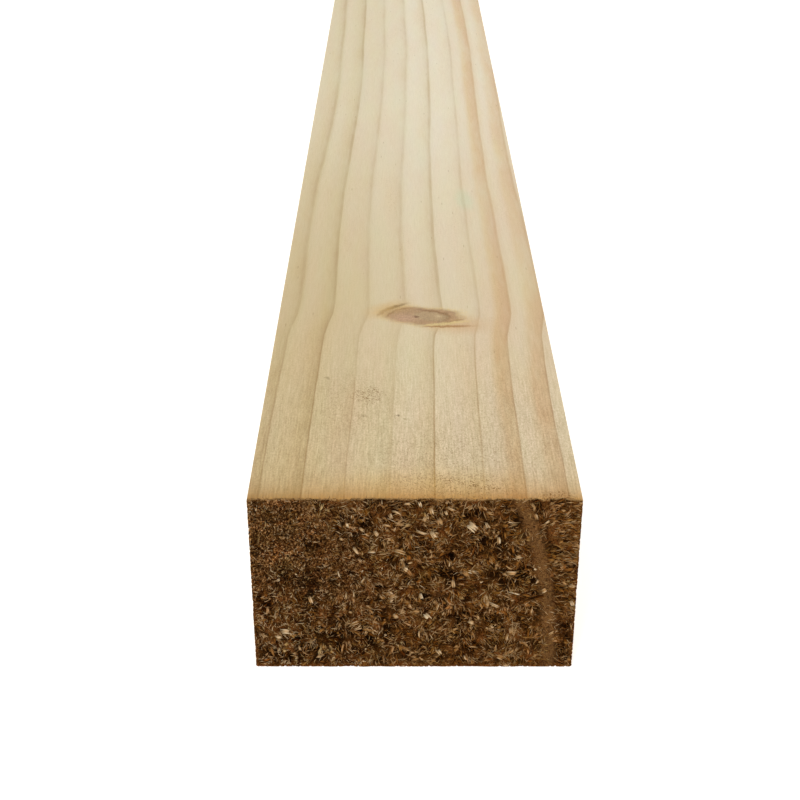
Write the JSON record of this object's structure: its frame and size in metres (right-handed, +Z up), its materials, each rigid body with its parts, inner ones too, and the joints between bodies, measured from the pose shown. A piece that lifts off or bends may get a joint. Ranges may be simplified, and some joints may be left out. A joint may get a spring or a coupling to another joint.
{
  "type": "sawn timber plank",
  "caption": "Length of sawn softwood of rectangular section, lying on its wide face, with growth rings, knots and rough torn end grain. Stock for framing and general building.",
  "frame": {"origin": "centre of the bottom face, which rests on the floor", "axes": "+Y along the length, away from the torn end that the picture shows; +Z up through the thickness; +X across the width, to the right seen from that end"},
  "size_m": [0.075, 1.8, 0.047],
  "materials": {
    "sawn_pine": "rough sawn, dry and matt, untreated"
  },
  "bodies": {
    "root": {"timber_plank": "sawn_pine"}
  },
  "joints": []
}
